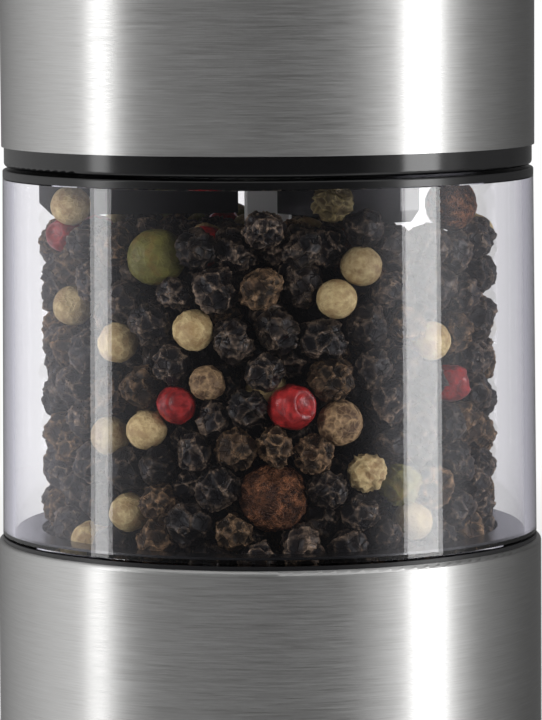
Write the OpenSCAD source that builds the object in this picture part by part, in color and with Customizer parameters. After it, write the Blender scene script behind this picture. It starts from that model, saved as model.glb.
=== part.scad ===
// Pepper mill with a steel head and base, a clear acrylic chamber and a ceramic grinder.
// Millimetres. The origin is the middle of the foot, on the table, and +Z is up the mill's axis.
// The head turns the square shaft, which turns the grinding cone in its ring. The dial under the
// base raises a keyed nut, and the nut raises the cone, which makes the grind finer.

/* [Base] */
// Outer diameter of the steel base sleeve
base_d = 53.3; // [52:0.1:60]
// Height of the base sleeve's top edge above the table
base_h = 46; // [44:0.5:70]
// Sheet thickness of both steel shells
sheet = 0.8; // [0.6:0.05:1]
// Height of the base sleeve's lower edge above the table
foot_h = 1.2; // [0.8:0.1:1.6]
// How far the base sleeve's lower edge turns in under the core
curl_w = 2; // [1.6:0.1:2.4]
// Wall of the moulded base core
core_wall = 1.8; // [1.4:0.1:2.2]
// Width of the rubber foot ring
foot_w = 2.1; // [1.8:0.1:2.6]
// Height of the core's seat above the sleeve's top edge
seat_lip = 0.4; // [0.2:0.1:1]

/* [Window tube] */
// How far the clear tube's shoulder lies inside the base sleeve's face
window_inset = 0.45; // [0.2:0.05:0.8]
// How far the tube narrows from its shoulder to its top
window_taper = 0.3; // [0:0.05:0.5]
// Wall of the clear tube at its shoulder
window_wall = 3.8; // [3.2:0.1:4.4]
// Length of the clear tube that shows, with the collar on its top
window_h = 35.8; // [25:0.1:80]
// Length of the spigot that goes down into the base
spigot_h = 8; // [6:0.5:9]
// How far that spigot steps in from the shoulder
spigot_step = 1.7; // [1.5:0.05:2]
// Height of the neck spider's collar, which closes the tube's top
collar_h = 0.8; // [0.6:0.1:1.6]

/* [Neck] */
// Number of arms that carry the neck's hub
arms = 3; // [3:1:4]
// Turn of the arms about the axis, from straight left
arm_turn = 6; // [-20:1:20]
// Thickness of an arm
arm_w = 2.2; // [1.6:0.1:3]
// How far an arm's rib reaches below the collar
arm_drop = 3.6; // [2:0.1:8]

/* [Head] */
// How far the steel head's face lies inside the base sleeve's
head_inset = 0.65; // [0:0.05:1]
// Height of the steel head
head_h = 46; // [42:0.5:70]
// Radius of the head's top edge
head_round = 5; // [3:0.5:8]
// Radius of the dome on the head's top
dome_r = 160; // [120:5:400]
// How far the black ring under the head lies inside the head's face
ring_inset = 0.25; // [0.05:0.05:0.5]
// Height of that ring
ring_h = 2; // [1.8:0.1:3]
// Running gap between the ring and the tube's top
neck_gap = 0.25; // [0.2:0.05:0.5]
// Ribs in the head core
head_ribs = 6; // [4:1:9]

/* [Shaft] */
// Width across the flats of the square shaft
shaft_w = 4.6; // [4:0.1:5]
// Bevel along the shaft's corners
shaft_bevel = 0.3; // [0.2:0.05:0.5]
// Length of the shaft that stands in the head's socket
shaft_grip = 29; // [20:1:31]

/* [Grinder] */
// How far the ceramic ring's side lies inside the base sleeve's face
mill_inset = 10.45; // [10.2:0.05:10.8]
// Height of the ceramic ring
mill_h = 14; // [13:0.5:15]
// Gap between cone and ring at the coarsest setting
coarse_gap = 0.8; // [0.75:0.05:0.9]
// How far the dial raises the cone
cone_lift = 1; // [0.6:0.1:1]
// Teeth of the grinding ring
ring_teeth = 30; // [18:1:36]
// Teeth of the grinding cone
cone_teeth = 20; // [12:1:24]
// Depth of the teeth
tooth_depth = 0.7; // [0.5:0.1:0.9]
// Number of feed wings
wings = 3; // [2:1:4]
// Turns of the burr spring
spring_turns = 7; // [5:1:8]
// Wire of the burr spring
spring_wire = 0.8; // [0.6:0.1:0.9]

/* [Dial] */
// Height of the dial's underside above the table
dial_z = 2.5; // [2.2:0.1:2.8]
// Finger bars under the dial
finger_bars = 8; // [6:1:12]
// Click notches round the dial
notches = 24; // [12:1:36]
// How far the thread of dial and lift nut lies inside the ceramic ring's side
thread_step = 1.1; // [0.9:0.05:1.3]
// Screws that hold the housing, and as many that hold the head ring
screws = 3; // [3:1:4]
// Shank diameter of the screws
screw_d = 2.5; // [2.2:0.1:2.8]

/* [Fits] */
// Clearance round pieces that seat in each other
seat_fit = 0.05; // [0.02:0.01:0.08]
// Clearance round pieces that turn or slide in each other
run_fit = 0.08; // [0.05:0.01:0.1]
// Gap between pieces that pass each other freely
free_gap = 0.3; // [0.2:0.05:0.4]

/* [Hidden] */
$fn = 96;

steel = "silver";
black = "#1c1c1f";
ceramic = "ivory";
clear = [0.86, 0.9, 0.95, 0.35];
past = 1; // how far a cutter runs past the face that it opens

// Base: radii from the sleeve inwards, heights from the table up
base_r = base_d / 2;
core_r = base_r - sheet - seat_fit;
core_in_r = core_r - core_wall;
curl_r = base_r - curl_w;
core_z = foot_h + sheet;
foot_r = curl_r - seat_fit;
foot_in_r = foot_r - foot_w;
foot_key_w = 1; // tongue of the foot ring in the core's groove
foot_key_h = 1.5;
foot_key_r = (foot_r + foot_in_r) / 2;
rail_h = 2.8; // inward rail of the core that carries the foot ring
seat_z = base_h + seat_lip;

// Window tube
window_r = base_r - window_inset;
window_top_r = window_r - window_taper;
bore_r = window_r - window_wall;
spigot_r = window_r - spigot_step;
spigot_z = seat_z - spigot_h;
window_top = seat_z + window_h;
collar_z = window_top - collar_h;
seal_h = 1.24; // sealing ring, squeezed between spigot and socket
seal_groove_h = 2;
seal_z = spigot_z + spigot_h / 2;
seal_in_r = spigot_r - 0.8;
socket_r = spigot_r + seat_fit;

// Shaft, and the sleeve that turns in the neck
shaft_r = norm([shaft_w / 2, shaft_w / 2 - shaft_bevel]);
arm_in_r = shaft_r + run_fit + 0.1;
sleeve_r = shaft_r + 1.2;
sleeve_flange_r = sleeve_r + 1.2;
sleeve_flange_h = 0.8;
hub_r = sleeve_r + 2;
hub_h = collar_h + 0.8;
clip_h = 0.7; // E-clips on the shaft
clip_slack = 0.04;
clip_groove_r = shaft_w / 2 - 0.15;
clip_r = shaft_r + 1.2;
clip_z = window_top + sleeve_flange_h + clip_slack;

// Head
ring_z = window_top + neck_gap;
head_r = base_r - head_inset;
ring_r = head_r - ring_inset;
head_z = ring_z + ring_h;
head_core_r = head_r - sheet - seat_fit;
head_floor = 2; // bottom plate of the head core
head_skirt = 1.6; // outer wall of the head core
socket_in_w = shaft_w + 2 * run_fit;
socket_out_r = shaft_r + 2.1;
socket_flange_r = socket_out_r + 1.3;
socket_flange_h = 1;
shaft_top = head_z + shaft_grip;
socket_top = shaft_top + 2.5;
boss_top = socket_top + 2;
grip_wire = 0.9;
grip_r = shaft_r + 0.1 + grip_wire / 2;
grip_z = shaft_top - 6;
ring_in_r = ring_r - 6.8;
head_screw_r = ring_r - 3.6;

// Grinder: heights from the dial up
dial_r = foot_in_r - 0.6;
dial_flange_h = 1.4;
mill_r = base_r - mill_inset;
thread_r = mill_r - thread_step;
dial_sleeve_r = thread_r + 1.7;
nut_z = dial_z + 1.1;
nut_h = 5.4;
nut_r = thread_r - 0.2;
nut_rim = 2.4;
ledge_z = nut_z + nut_h + cone_lift + free_gap;
ledge_h = 2.2;
mill_z = ledge_z + ledge_h;
mill_top = mill_z + mill_h;
dial_top = ledge_z - free_gap - 0.1;
skirt_r = dial_sleeve_r + run_fit;
housing_wall = 1.2;
barrel_r = mill_r + seat_fit + housing_wall;
skirt_out_r = skirt_r + housing_wall;
flange_z = ledge_z + 1;
flange_h = 2.2;
flange_r = dial_r + 0.2;
housing_screw_r = (flange_r + skirt_out_r) / 2;
screw_cone = 0.6; // how far a screw's countersunk head stands out past its shank
key_w = 4;
key_t = 1;
key_h = mill_z - cone_lift - 0.2 - (nut_z + nut_h);
hub_pad_r = 3.2;
hub_top = nut_z + 4.4;
pad_top = hub_top + 0.5;

// Click leaf over the dial's notches, and the wire ring that keeps the dial in its skirt
leaf_at = 90;
leaf_r = (skirt_out_r + flange_r) / 2;
leaf_w = 2.4;
leaf_t = 0.4;
snap_wire = 0.9;
snap_z = dial_top - 1.7;

// Grinding surfaces: the narrow band at the ring's foot, and the slope above it
ring_foot_r = mill_r - 2.6;
band_h = 3;
band_slope = 0.57; // radius lost per millimetre of height
ring_neck_r = ring_foot_r - band_h * band_slope;
ring_mouth_r = mill_r - 1.2;
cone_foot_r = ring_foot_r - coarse_gap;
cone_neck_r = ring_neck_r - coarse_gap;
cone_drop = 1.8; // how far the cone hangs below the ring
cone_z = mill_z - cone_drop;
cone_top_z = mill_top - 2;
cone_top_r = shaft_r + 5.25;
cone_rim_r = cone_foot_r + cone_lift * band_slope;
tooth_lean = 16; // slant of the teeth

// Cone carrier and its spring
carrier_z = pad_top + 0.05;
pocket_r = shaft_r + spring_wire + 1.1;
stem_wall = 1.75;
stem_r = pocket_r + stem_wall;
stem_flat = stem_r - 0.5; // half width across the stem's two flats
pocket_z = cone_z + 3.8;
stem_top = mill_top + 5;
carrier_floor = 0.8;
shaft_z = carrier_z + carrier_floor + cone_lift + 0.1;
seat_z0 = stem_top - 2;
seat_h = 1;
seat_clip_z = seat_z0 + seat_h + clip_slack;
spring_r = (pocket_r + shaft_r) / 2;
wing_r = ring_mouth_r - 2.6;
collar_r = cone_top_r;

// Funnel of the base core, from the tube's bore down to the grinding ring
throat_r = ring_mouth_r + 0.15;
throat_z = mill_top + seat_fit;
throat_h = 2;
funnel_t = 2.2;
throat_out_r = barrel_r;
post_r = screw_d / 2 + 1.3;
post_z = flange_z + flange_h;
screw_len = 11;
rib_z = post_z + 3;

// A ring of rectangular section
module ring(out_r, in_r, z, h) {
    translate([0, 0, z])
        difference() {
            cylinder(r = out_r, h = h);
            translate([0, 0, -past]) cylinder(r = in_r, h = h + 2 * past);
        }
}

// Cuts a round of radius r on a profile's outside corner. side is [1 or -1, 1 or -1], outwards
module corner_round(corner, r, side) {
    translate([corner[0] - side[0] * r, corner[1] - side[1] * r])
        mirror([side[0] < 0 ? 1 : 0, 0, 0])
            mirror([0, side[1] < 0 ? 1 : 0, 0])
                difference() {
                    square(r + past);
                    circle(r = r);
                }
}

// A square bar along the axis, w across the flats
module bar(w, bevel, z, h) {
    a = w / 2;
    b = a - bevel;
    translate([0, 0, z])
        linear_extrude(h)
            polygon([[a, b], [b, a], [-b, a], [-a, b], [-a, -b], [-b, -a], [b, -a], [a, -b]]);
}

// A thin plate standing on a radius, from a profile in radius and height
module fin(t, points) {
    rotate([90, 0, 0])
        translate([0, 0, -t / 2])
            linear_extrude(t)
                polygon(points);
}

// Copies its children n times round the axis
module around(n, start = 0) {
    for (i = [0:n - 1])
        rotate(start + i * 360 / n) children();
}

// An E-clip: a ring with a mouth, seated in a groove of the shaft
module e_clip(z) {
    difference() {
        ring(clip_r, clip_groove_r + seat_fit, z, clip_h);
        translate([0, -clip_groove_r * 0.8, z - past])
            cube([clip_r + past, clip_groove_r * 1.6, clip_h + 2 * past]);
    }
}

// Groove for an E-clip
module clip_groove(z) {
    ring(clip_r + past, clip_groove_r, z - clip_slack, clip_h + 2 * clip_slack);
}

// A countersunk screw that points up, with a crosshead
module screw(z, len) {
    head_r = screw_d / 2 + screw_cone;
    slot = 0.5;
    translate([0, 0, z])
        difference() {
            union() {
                cylinder(r = screw_d / 2, h = len);
                cylinder(r1 = head_r, r2 = screw_d / 2, h = screw_cone);
            }
            for (a = [0, 90])
                rotate(a)
                    translate([-head_r * 0.6, -slot / 2, -past])
                        cube([head_r * 1.2, slot, past + screw_cone * 0.6]);
        }
}

// Hole for such a screw through a plate of height h that starts at z
module screw_hole(z, h) {
    hole_r = screw_d / 2 + seat_fit;
    translate([0, 0, z - past])
        cylinder(r = hole_r, h = h + 2 * past);
    translate([0, 0, z])
        cylinder(r1 = hole_r + screw_cone, r2 = hole_r, h = screw_cone);
}

// Outline of the domed head, its skin moved inwards by t
module head_outline(t, low) {
    corner = [head_r - head_round, head_z + head_h - head_round];
    lean = asin(corner[0] / (dome_r - head_round));
    dome_z = corner[1] - (dome_r - head_round) * cos(lean);
    meet = [(dome_r - t) * sin(lean), dome_z + (dome_r - t) * cos(lean)];
    polygon([[0, low], [head_r - t, low], [head_r - t, corner[1]], corner, meet, [0, meet[1]]]);
    translate(corner)
        circle(r = head_round - t);
    intersection() {
        translate([0, dome_z]) circle(r = dome_r - t);
        translate([0, meet[1] - 0.01]) square([meet[0], head_round]);
    }
}

module base_shell() {
    color(steel)
        rotate_extrude()
            difference() {
                translate([curl_r, foot_h])
                    square([base_r - curl_r, base_h - foot_h]);
                translate([curl_r - past, core_z])
                    square([base_r - sheet - curl_r + past, base_h]);
                corner_round([base_r, foot_h], sheet, [1, -1]);
                corner_round([base_r, base_h], sheet / 2, [1, 1]);
            }
}

// Moulded body of the base: tube socket, funnel, ribs and screw posts
module base_core() {
    under_z = spigot_z - funnel_t;
    slope_z = throat_z + throat_h;
    color(black)
        difference() {
            union() {
                rotate_extrude()
                    polygon([
                        [foot_in_r, core_z], [core_r, core_z], [core_r, base_h], [window_r, base_h],
                        [window_r, seat_z], [socket_r, seat_z], [socket_r, spigot_z - seat_fit],
                        [bore_r, spigot_z - seat_fit], [throat_r, slope_z], [throat_r, throat_z],
                        [throat_out_r, throat_z], [throat_out_r, slope_z - 0.5],
                        [core_in_r, under_z], [core_in_r, core_z + rail_h],
                        [foot_in_r, core_z + rail_h],
                    ]);
                difference() {
                    union() {
                        around(screws, 60) post();
                        around(screws * 2, 30) core_rib();
                    }
                    funnel_room(slope_z, 0.8);
                }
            }
            ring(foot_key_r + foot_key_w / 2 + seat_fit, foot_key_r - foot_key_w / 2 - seat_fit,
                core_z - past, foot_key_h + seat_fit + past);
            around(screws, 60)
                translate([housing_screw_r, 0, post_z - past])
                    cylinder(r = screw_d / 2 + seat_fit, h = screw_len + past);
            translate([0, 0, post_z - past])
                cylinder(r = barrel_r + 2 * seat_fit, h = throat_z - post_z + past);
        }
}

// Screw post of the base core, webbed to the core's wall, up into the funnel's wall
module post() {
    post_h = spigot_z - post_z;
    translate([housing_screw_r, 0, post_z])
        cylinder(r = post_r, h = post_h);
    translate([housing_screw_r, -post_r / 2, post_z])
        cube([core_in_r - housing_screw_r + core_wall / 2, post_r, post_h]);
}

// Rib from the funnel's throat out to the core's wall, up into the funnel's wall
module core_rib() {
    sunk = 0.8; // how far the rib's sides lie inside the walls that they meet
    fin(1.2, [
        [throat_out_r - sunk, throat_z + 0.6], [throat_out_r - sunk, spigot_z],
        [core_in_r + sunk, spigot_z], [core_in_r + sunk, rib_z],
        [core_in_r - 1.2, rib_z], [throat_out_r + 0.8, throat_z + 0.6],
    ]);
}

// The hollow of funnel and socket, widened into their walls by deeper
module funnel_room(slope_z, deeper) {
    rotate_extrude()
        polygon([
            [0, throat_z - past], [throat_r + deeper, throat_z - past],
            [throat_r + deeper, slope_z - deeper / 2], [bore_r + deeper, spigot_z - deeper / 2],
            [bore_r + deeper, seat_z + past], [0, seat_z + past],
        ]);
}

module foot_ring() {
    color(black)
        rotate_extrude() {
            difference() {
                translate([foot_in_r, 0])
                    square([foot_w, core_z]);
                corner_round([foot_r, 0], 0.5, [1, -1]);
                corner_round([foot_in_r, 0], 0.5, [-1, -1]);
            }
            translate([foot_key_r - foot_key_w / 2, core_z - 0.1])
                square([foot_key_w, foot_key_h + 0.1]);
        }
}

module window_tube() {
    color(clear)
        rotate_extrude()
            difference() {
                polygon([
                    [bore_r, spigot_z], [spigot_r, spigot_z], [spigot_r, seat_z], [window_r, seat_z],
                    [window_top_r, collar_z], [bore_r, collar_z],
                ]);
                translate([seal_in_r, seal_z - seal_groove_h / 2])
                    square([spigot_r - seal_in_r + past, seal_groove_h]);
            }
}

// Sealing ring, pressed flat where it touches the groove and the socket
module tube_seal() {
    mid_r = (seal_in_r + socket_r) / 2;
    color("dimgray")
        rotate_extrude()
            intersection() {
                translate([mid_r, seal_z]) circle(r = seal_h / 2);
                translate([seal_in_r, seal_z - seal_h])
                    square([socket_r - seal_in_r, 2 * seal_h]);
            }
}

// Collar on the tube's top, arms whose ribs plug into the tube, and hub that guides the shaft
module neck_spider() {
    rib_out_r = bore_r - seat_fit;
    rib_z0 = collar_z - arm_drop;
    hub_z = window_top - hub_h;
    color(black)
        difference() {
            union() {
                ring(window_top_r, bore_r - 1.6, collar_z, collar_h);
                translate([0, 0, hub_z]) cylinder(r = hub_r, h = hub_h);
                around(arms, 180 + arm_turn) {
                    translate([0, -arm_w, collar_z]) cube([bore_r - 0.6, 2 * arm_w, collar_h]);
                    fin(arm_w, [
                        [0, rib_z0 + 0.6], [2, rib_z0], [rib_out_r - 1.2, rib_z0],
                        [rib_out_r, rib_z0 + 1.2], [rib_out_r, window_top - 0.1],
                        [0, window_top - 0.1],
                    ]);
                }
            }
            translate([0, 0, rib_z0 - past]) cylinder(r = arm_in_r, h = hub_z - rib_z0 + 2 * past);
            translate([0, 0, hub_z]) cylinder(r = sleeve_r + run_fit, h = hub_h + past);
            rotate_extrude() corner_round([window_top_r, window_top], 0.2, [1, 1]);
        }
}

// Housing of the grinder: barrel for the ceramic ring, flange, skirt for the dial, key slots
module mill_housing() {
    bead_h = 1.6;
    color("#3a3a3e")
        difference() {
            union() {
                ring(barrel_r, mill_r + seat_fit, mill_z - 0.1, mill_h + 0.1);
                ring(barrel_r, cone_rim_r + 0.5, ledge_z, ledge_h);
                ring(flange_r, barrel_r - 0.5, flange_z, flange_h);
                ring(skirt_out_r, skirt_r, dial_z + dial_flange_h + 0.5, flange_z - dial_z - dial_flange_h);
                rotate(leaf_at) leaf_peg();
            }
            around(3, 30)
                translate([nut_r - key_t - 0.15, -key_w / 2 - 0.15, ledge_z - past])
                    cube([key_t + 0.3, key_w + 0.3, ledge_h + past]);
            around(screws, 60)
                translate([housing_screw_r, 0, 0]) screw_hole(flange_z, flange_h);
            ring(skirt_r + 0.6, skirt_r - 0.1, snap_z - bead_h / 2, bead_h);
        }
}

module leaf_peg() {
    peg_r = 0.7;
    translate([leaf_r, 4, flange_z - leaf_t - 0.6]) {
        cylinder(r = peg_r, h = leaf_t + 0.6 + 0.1);
        cylinder(r1 = peg_r, r2 = peg_r + 0.4, h = 0.55);
    }
}

// Spring leaf under the housing's flange that clicks over the dial's notches
module click_leaf() {
    top = flange_z - 0.02;
    nose = dial_z + dial_flange_h + 0.1;
    color(steel)
        rotate(leaf_at)
            difference() {
                translate([leaf_r - leaf_w / 2, 0, 0])
                    rotate([90, 0, 90])
                        linear_extrude(leaf_w)
                            polygon([
                                [6, top], [6, top - leaf_t], [1.6, top - leaf_t], [-4.2, nose],
                                [-4.8, nose], [-6.4, nose + 1.2], [-6.1, nose + 1.5],
                                [-4.7, nose + leaf_t + 0.05], [-4.4, nose + leaf_t + 0.05],
                                [1.4, top],
                            ]);
                translate([leaf_r, 4, flange_z - 3]) cylinder(r = 0.75, h = 4);
            }
}

module grind_ring() {
    color(ceramic)
        difference() {
            rotate_extrude()
                difference() {
                    polygon([
                        [ring_foot_r, mill_z], [mill_r, mill_z], [mill_r, mill_top],
                        [ring_mouth_r, mill_top], [ring_neck_r, mill_z + band_h],
                    ]);
                    corner_round([mill_r, mill_z], 0.4, [1, -1]);
                }
            around(ring_teeth)
                tooth_cut([ring_neck_r, mill_z + band_h], [ring_mouth_r, mill_top], tooth_depth, 1);
            around(ring_teeth + 12, 3)
                tooth_cut([ring_foot_r, mill_z], [ring_neck_r, mill_z + band_h], tooth_depth / 2, 1);
        }
}

// A V-shaped furrow on a slope between two points in radius and height, from the lower one up.
// into is 1 to cut outwards and -1 to cut inwards
module tooth_cut(low, high, depth, into) {
    slope = high - low;
    over = 2; // how far the furrow runs past both ends
    translate([(low[0] + high[0]) / 2, 0, (low[1] + high[1]) / 2])
        rotate([0, atan2(slope[0], slope[1]), 0])
            rotate([into * tooth_lean, 0, 0])
                translate([0, 0, -norm(slope) / 2 - over / 2])
                    linear_extrude(norm(slope) + over)
                        polygon([
                            [into * depth, 0], [-into * depth, depth * 1.6],
                            [-into * depth, -depth * 1.6],
                        ]);
}

module housing_screws() {
    color(steel)
        around(screws, 60)
            translate([housing_screw_r, 0, 0]) screw(flange_z + 0.05, screw_len);
}

// Adjusting dial: finger bars below, click notches above, a sleeve that holds the lift nut
module adjust_dial() {
    color("#2a2a2e")
        difference() {
            union() {
                ring(dial_r, thread_r, dial_z, dial_flange_h);
                ring(dial_sleeve_r, thread_r, dial_z, dial_top - dial_z);
                around(finger_bars)
                    translate([0, 0, dial_z - 1.4]) finger_bar();
            }
            around(notches, leaf_at)
                translate([leaf_r + 0.4, 0, dial_z + dial_flange_h])
                    rotate([90, 0, 90])
                        linear_extrude(dial_r)
                            polygon([[-0.6, past], [-0.6, 0.01], [0, -0.5], [0.6, 0.01], [0.6, past]]);
            around(notches, leaf_at + 180 / notches)
                translate([dial_r + 0.9, 0, dial_z - past])
                    cylinder(r = 1.3, h = dial_flange_h + 2 * past);
            ring(dial_sleeve_r + past, dial_sleeve_r - snap_wire / 2 - 0.1,
                snap_z - snap_wire / 2 - 0.04, snap_wire + 0.08);
        }
}

module finger_bar() {
    bar_r = 0.8;
    from = thread_r + 2;
    to = dial_r - 1.6;
    h = 1.5;
    translate([from, -bar_r, 0]) cube([to - from, 2 * bar_r, h]);
    translate([from, 0, 0]) cylinder(r = bar_r, h = h);
    translate([to, 0, 0]) cylinder(r = bar_r, h = h);
}

// Open wire ring that keeps the dial in the housing's skirt
module snap_ring() {
    color(steel)
        rotate(12)
            rotate_extrude(angle = 336)
                translate([dial_sleeve_r - 0.05, snap_z]) circle(r = snap_wire / 2);
}

// Nut that the dial raises: rim, three spokes, hub, and three keys that run in the housing
module lift_nut() {
    rim_in_r = nut_r - nut_rim;
    key_out_r = nut_r - 0.15;
    spoke_w = 2.4;
    color("#4a4a50")
        difference() {
            union() {
                rotate_extrude()
                    polygon([
                        [rim_in_r, nut_z], [nut_r, nut_z], [nut_r, nut_z + nut_h],
                        [nut_r - key_t - 0.4, nut_z + nut_h], [rim_in_r, hub_top + 0.2],
                    ]);
                around(3, 30) {
                    intersection() {
                        translate([nut_r - key_t, -key_w / 2, nut_z + nut_h - 0.1])
                            cube([key_t, key_w, key_h + 0.1]);
                        translate([0, 0, nut_z]) cylinder(r = key_out_r, h = 2 * nut_h + key_h);
                    }
                    translate([0, -spoke_w / 2, nut_z + 0.8])
                        cube([rim_in_r + 0.4, spoke_w, hub_top - nut_z - 0.8]);
                }
                translate([0, 0, nut_z]) cylinder(r = hub_pad_r + 1, h = hub_top - nut_z);
            }
            translate([0, 0, hub_top - 0.9]) cylinder(r = hub_pad_r + seat_fit, h = 0.9 + past);
        }
}

module thrust_pad() {
    color("goldenrod")
        translate([0, 0, hub_top - 0.88])
            cylinder(r = hub_pad_r, h = pad_top - hub_top + 0.88);
}

module drive_shaft() {
    color(steel)
        difference() {
            bar(shaft_w, shaft_bevel, shaft_z, shaft_top - shaft_z);
            clip_groove(clip_z);
            clip_groove(seat_clip_z);
            ring(shaft_w, clip_groove_r + 0.1, grip_z - grip_wire, 2 * grip_wire);
        }
}

// Sleeve with a square hole, which turns with the shaft in the neck's hub
module shaft_sleeve() {
    color("whitesmoke")
        difference() {
            union() {
                translate([0, 0, window_top - hub_h + 0.1])
                    cylinder(r = sleeve_r, h = hub_h - 0.1);
                translate([0, 0, window_top + 0.03])
                    cylinder(r = sleeve_flange_r, h = sleeve_flange_h - 0.03);
                translate([0, 0, window_top - 0.1])
                    cylinder(r = sleeve_r, h = 0.2);
            }
            bar(shaft_w + 2 * seat_fit, shaft_bevel, window_top - hub_h - past, hub_h + 2 * past + 1);
        }
}

module shaft_clip() {
    color(steel) e_clip(clip_z);
}

// Washer that the burr spring pushes against
module spring_seat() {
    color(steel)
        difference() {
            translate([0, 0, seat_z0]) cylinder(r = pocket_r - run_fit, h = seat_h);
            bar(shaft_w + 2 * seat_fit, shaft_bevel, seat_z0 - past, seat_h + 2 * past);
        }
}

module seat_clip() {
    color(steel)
        difference() {
            e_clip(seat_clip_z);
            ring(clip_r + past, pocket_r - free_gap, seat_clip_z - past, clip_h + 2 * past);
        }
}

module grind_cone() {
    neck_z = mill_z + band_h;
    color(ceramic)
        difference() {
            rotate_extrude()
                polygon([
                    [0, cone_z], [cone_rim_r - 0.3, cone_z], [cone_rim_r, cone_z + 0.3],
                    [cone_rim_r, mill_z - cone_lift], [cone_neck_r, neck_z],
                    [cone_top_r, cone_top_z], [0, cone_top_z],
                ]);
            intersection() {
                translate([0, 0, cone_z - past])
                    cylinder(r = stem_r + seat_fit, h = cone_top_z - cone_z + 2 * past);
                translate([-stem_r - past, -stem_flat - seat_fit, cone_z - past])
                    cube([2 * (stem_r + past), 2 * (stem_flat + seat_fit), 2 * mill_h]);
            }
            around(cone_teeth)
                tooth_cut([cone_neck_r, neck_z], [cone_top_r, cone_top_z], tooth_depth, -1);
            around(2 * cone_teeth, 3)
                tooth_cut([cone_foot_r, mill_z], [cone_neck_r, neck_z], tooth_depth / 2, -1);
        }
}

// Carrier of the cone: square bore below, spring pocket above, two flats that drive the cone
module cone_carrier() {
    nose_r = hub_pad_r - 0.2;
    plate_z = cone_z - 1;
    color("#3a3a3e")
        difference() {
            union() {
                translate([0, 0, carrier_z]) cylinder(r = nose_r, h = plate_z - carrier_z + 0.1);
                translate([0, 0, plate_z]) cylinder(r = cone_foot_r - 2.6, h = cone_z - plate_z);
                intersection() {
                    translate([0, 0, cone_z - 0.1]) cylinder(r = stem_r, h = stem_top - cone_z + 0.1);
                    translate([-stem_r - past, -stem_flat, cone_z - 0.1])
                        cube([2 * (stem_r + past), 2 * stem_flat, 2 * mill_h]);
                }
            }
            bar(shaft_w + 2 * run_fit, shaft_bevel, carrier_z + carrier_floor, pocket_z);
            translate([0, 0, pocket_z]) cylinder(r = pocket_r, h = stem_top);
        }
}

// Collar with swept wings that feeds peppercorns down between cone and ring
module feed_wings() {
    collar_z = cone_top_z + 0.02;
    wing_h = stem_top - collar_z - 1;
    color("#3a3a3e")
        difference() {
            union() {
                translate([0, 0, collar_z]) cylinder(r = collar_r, h = stem_top - collar_z);
                intersection() {
                    around(wings) wing(collar_z, wing_h);
                    translate([0, 0, collar_z])
                        cylinder(r1 = wing_r - 0.4, r2 = wing_r, h = wing_h);
                }
            }
            intersection() {
                translate([0, 0, collar_z - past])
                    cylinder(r = stem_r + seat_fit, h = stem_top);
                translate([-stem_r - past, -stem_flat - seat_fit, collar_z - past])
                    cube([2 * (stem_r + past), 2 * (stem_flat + seat_fit), stem_top]);
            }
        }
}

// One wing: a crescent in plan
module wing(z, h) {
    sweep_r = 7.5;
    translate([stem_r + 1, -4, z])
        difference() {
            cylinder(r = sweep_r, h = h);
            translate([-1.6, -0.9, -past]) cylinder(r = sweep_r, h = h + 2 * past);
            translate([-2 * sweep_r, -2 * sweep_r, -past]) cube([4 * sweep_r, 2 * sweep_r, h + 2 * past]);
            translate([-2 * sweep_r, -sweep_r, -past]) cube([2 * sweep_r, 4 * sweep_r, h + 2 * past]);
        }
}

// Burr spring: a coil whose end turns lie flat, swept as one polyhedron
module burr_spring() {
    sides = 6;
    steps = 16; // rings in a turn
    low = pocket_z + seat_fit + spring_wire / 2;
    high = seat_z0 - seat_fit - spring_wire / 2;
    rise = high - low - 2 * spring_wire;
    count = spring_turns * steps;
    height = function (t)
        t < 1 ? t * spring_wire
        : t > spring_turns - 1 ? spring_wire + rise + (t - spring_turns + 1) * spring_wire
        : spring_wire + rise * (t - 1) / (spring_turns - 2);
    points = [
        for (i = [0:count], j = [0:sides - 1])
            let (turn = 360 * i / steps, a = 360 * j / sides)
            let (r = spring_r + spring_wire / 2 * cos(a))
            [r * cos(turn), r * sin(turn), low + height(i / steps) + spring_wire / 2 * sin(a)]
    ];
    walls = [
        for (i = [0:count - 1], j = [0:sides - 1])
            let (k = (j + 1) % sides)
            [i * sides + j, (i + 1) * sides + j, (i + 1) * sides + k, i * sides + k]
    ];
    start = [for (j = [0:sides - 1]) j];
    end = [for (j = [sides - 1:-1:0]) count * sides + j];
    color(steel)
        polyhedron(points = points, faces = concat(walls, [start, end]), convexity = 8);
}

module head_shell() {
    color(steel)
        rotate_extrude()
            difference() {
                head_outline(0, head_z);
                head_outline(sheet, head_z - past);
            }
}

// Moulded insert of the head: floor, skirt, ribs, boss for the shaft's socket, screw posts
module head_core() {
    skirt_top = head_z + head_h - head_round - 1;
    boss_r = socket_out_r + seat_fit + 1.8;
    rib_top = boss_top - 4;
    color(black)
        difference() {
            union() {
                translate([0, 0, head_z]) cylinder(r = head_core_r, h = head_floor);
                ring(head_core_r, head_core_r - head_skirt, head_z, skirt_top - head_z);
                translate([0, 0, head_z]) cylinder(r = boss_r, h = boss_top - head_z);
                around(head_ribs, 30)
                    fin(1.4, [
                        [boss_r - 1, head_z + 1], [boss_r - 1, rib_top], [boss_r + 2, rib_top],
                        [head_core_r - 0.8, head_z + 14], [head_core_r - 0.8, head_z + 1],
                    ]);
                around(screws)
                    translate([head_screw_r, 0, head_z]) cylinder(r = post_r, h = screw_len);
            }
            translate([0, 0, head_z - past])
                cylinder(r = socket_flange_r + seat_fit, h = socket_flange_h + seat_fit + past);
            translate([0, 0, head_z])
                cylinder(r = socket_out_r + seat_fit, h = socket_top - head_z + seat_fit);
            around(screws)
                translate([head_screw_r, 0, head_z - past])
                    cylinder(r = screw_d / 2 + seat_fit, h = screw_len - ring_h + past);
        }
}

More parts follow.
